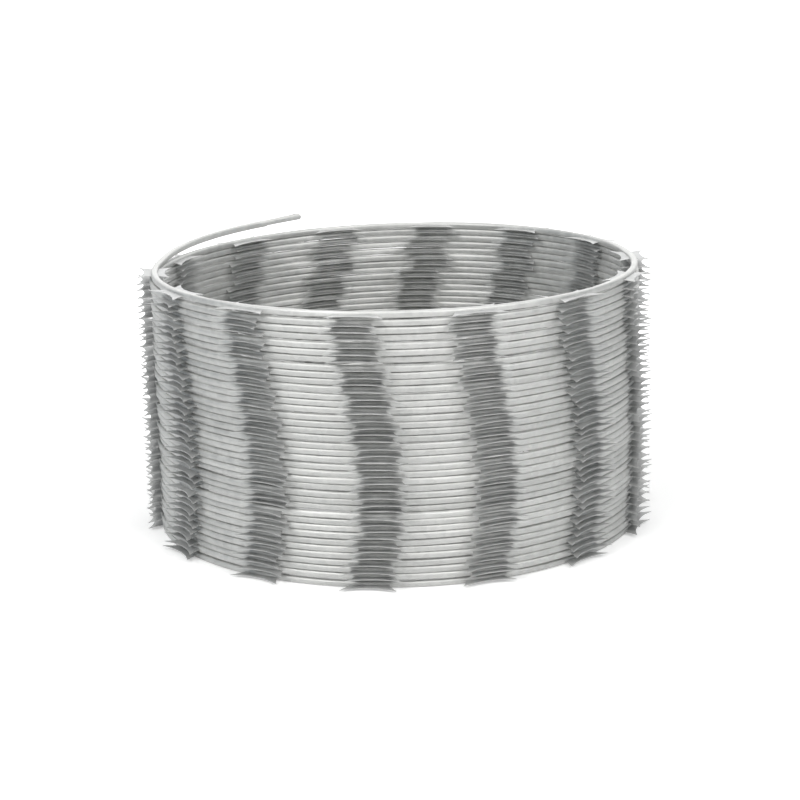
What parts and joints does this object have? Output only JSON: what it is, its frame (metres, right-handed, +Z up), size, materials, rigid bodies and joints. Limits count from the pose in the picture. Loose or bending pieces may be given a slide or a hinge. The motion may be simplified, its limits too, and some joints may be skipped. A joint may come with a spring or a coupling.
{
  "type": "coil of concertina razor wire",
  "caption": "Collapsed cylindrical coil of galvanised barbed tape with four-pointed blades on a rolled tape, its bare end lifting off the top turn.",
  "frame": {"origin": "centre of the coil at the underside of its bottom turn", "axes": "+Z up along the coil's axis; the free end leaves the top turn on the -X side and runs back toward +Y"},
  "size_m": [0.4851, 0.5029, 0.2472],
  "materials": {
    "galvanised_tape": "hot-dip galvanised, satin, slightly mottled",
    "spring_steel_core": "drawn spring wire, cut bare"
  },
  "bodies": {
    "root": {"razor_tape": "galvanised_tape", "core_wire": "spring_steel_core"}
  },
  "joints": []
}
